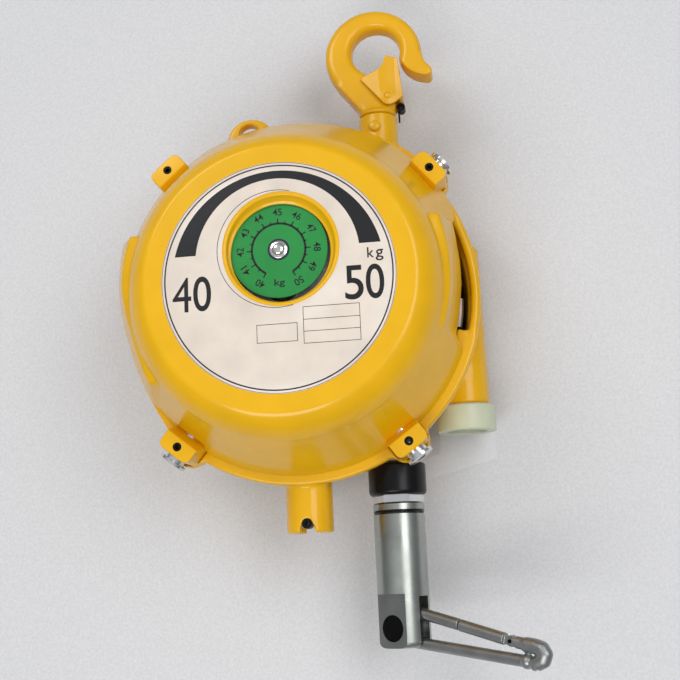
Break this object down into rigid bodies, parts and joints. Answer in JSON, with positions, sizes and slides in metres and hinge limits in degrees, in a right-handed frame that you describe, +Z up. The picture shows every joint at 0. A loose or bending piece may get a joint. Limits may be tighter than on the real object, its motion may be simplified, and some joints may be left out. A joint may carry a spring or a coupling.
{
  "type": "tool balancer",
  "caption": "Spring balancer that holds a hand tool on a retracting wire, with a swivelling top hook, a tension dial with a worm adjuster, a drum lock and a swivelling snap link.",
  "frame": {"origin": "saddle of the top hook, where the balancer hangs, on the load line", "axes": "+Z up along the load line, -Y towards the dial, +X to the right of someone facing the dial"},
  "size_m": [0.2803, 0.164, 0.476],
  "materials": {
    "cast_yellow": "gloss paint",
    "hook_yellow": "gloss paint",
    "printed_label": "printed film",
    "bright_zinc": "bright",
    "dark_pin": "black oxide",
    "steel": "machined",
    "zinc_steel": "zinc plated",
    "spring_steel": "blued",
    "iron": "cut teeth",
    "bronze": "machined",
    "brass": "cut teeth",
    "raw_casting": "as cast",
    "nylon": "satin",
    "pale_nylon": "satin",
    "clear_sheet": "clear plastic",
    "green_dial": "printed film",
    "black_rubber": "satin",
    "wire": "stranded"
  },
  "bodies": {
    "case": {"rear_case": "cast_yellow", "front_cover": "cast_yellow", "scale_label": "printed_label", "cover_bolts": "bright_zinc", "roll_pins": "dark_pin", "hook_collar": "cast_yellow", "collar_pin": "cast_yellow", "hook_washer": "steel", "wire_guide": "nylon", "worm_collar": "pale_nylon", "worm_bushes": "bronze", "clear_tag": "clear_sheet", "rear_bush": "bronze", "rear_cap": "cast_yellow", "shaft_support": "raw_casting", "lock_pin": "dark_pin", "lock_spring": "spring_steel"},
    "hook": {"top_hook": "hook_yellow", "hook_nut": "steel", "latch_rivet": "hook_yellow", "latch_spring": "dark_pin"},
    "latch": {"hook_latch": "hook_yellow"},
    "worm": {"worm": "steel"},
    "shaft": {"main_shaft": "steel", "spring_arbor": "steel", "worm_wheel": "iron", "wheel_key": "steel", "dial_pinion": "brass"},
    "dial": {"dial_gear": "brass", "dial_plate": "green_dial", "dial_washer": "bright_zinc", "dial_screw": "bright_zinc", "spindle_clip": "spring_steel"},
    "drum": {"rope_drum": "raw_casting", "spring_barrel": "steel", "barrel_lid": "steel", "front_bearing": "steel", "rear_bearing": "steel", "wound_wire": "wire", "spiral_spring": "spring_steel"},
    "lock": {"lock_plunger": "steel"},
    "travel": {"stopper": "black_rubber", "stopper_nut": "bright_zinc", "swivel_cap": "bright_zinc", "swivel_stud": "steel", "wire_lead": "wire"},
    "swivel": {"swivel_body": "zinc_steel", "swivel_oring": "black_rubber", "swivel_bearing": "steel", "fork_pin": "dark_pin"},
    "link": {"snap_link": "zinc_steel", "gate_pin": "dark_pin"},
    "gate": {"snap_gate": "zinc_steel"}
  },
  "joints": [
    {"name": "hook_swivel", "type": "hinge", "parent": "case", "child": "hook", "pos_m": [0, 0, -0.09], "axis": [0, 0, 1], "continuous": true},
    {"name": "latch_hinge", "type": "hinge", "parent": "hook", "child": "latch", "pos_m": [0.009, 0, -0.056], "axis": [0, 1, 0], "range_deg": [-24, 0], "stiffness_Nm_per_rad": 0.05, "springref_deg": 20.05},
    {"name": "worm_spin", "type": "hinge", "parent": "case", "child": "worm", "pos_m": [0.05, 0.028, -0.212], "axis": [0, 0, 1], "range_deg": [-19800, 19800]},
    {"name": "shaft_spin", "type": "hinge", "parent": "case", "child": "shaft", "pos_m": [-0.06, -0.02, -0.212], "axis": [0, 1, 0], "range_deg": [-300.1, 300.1]},
    {"name": "dial_spin", "type": "hinge", "parent": "case", "child": "dial", "pos_m": [-0.06, -0.1, -0.193], "axis": [0, 1, 0], "range_deg": [-138.7, 138.7]},
    {"name": "wire_travel", "type": "slide", "parent": "case", "child": "travel", "axis": [0, 0, -1], "range_m": [0, 1.5], "stiffness_N_per_m": 20, "springref_m": -1, "deforming": ["wire_lead"]},
    {"name": "drum_spin", "type": "hinge", "parent": "case", "child": "drum", "pos_m": [-0.06, -0.02, -0.212], "axis": [0, 1, 0], "range_deg": [0, 1425.2]},
    {"name": "lock_slide", "type": "slide", "parent": "case", "child": "lock", "axis": [0, 0, 1], "range_m": [0, 0.0075], "deforming": ["lock_spring"]},
    {"name": "swivel_spin", "type": "hinge", "parent": "travel", "child": "swivel", "pos_m": [0, 0, -0.39], "axis": [0, 0, 1], "continuous": true},
    {"name": "link_hinge", "type": "hinge", "parent": "swivel", "child": "link", "pos_m": [0, 0, -0.434], "axis": [-0.5592, -0.829, 0], "range_deg": [-165, 8]},
    {"name": "gate_hinge", "type": "hinge", "parent": "link", "child": "gate", "pos_m": [0.07047, -0.04753, -0.4426], "axis": [-0.5592, -0.829, 0], "range_deg": [0, 8.5], "stiffness_Nm_per_rad": 0.02, "springref_deg": -17.19}
  ],
  "couplings": [
    {"joint": "shaft_spin", "follows": "worm_spin", "ratio": 0.015152},
    {"joint": "dial_spin", "follows": "worm_spin", "ratio": -0.006993},
    {"joint": "drum_spin", "follows": "wire_travel", "rad_per_m": 16.581}
  ]
}
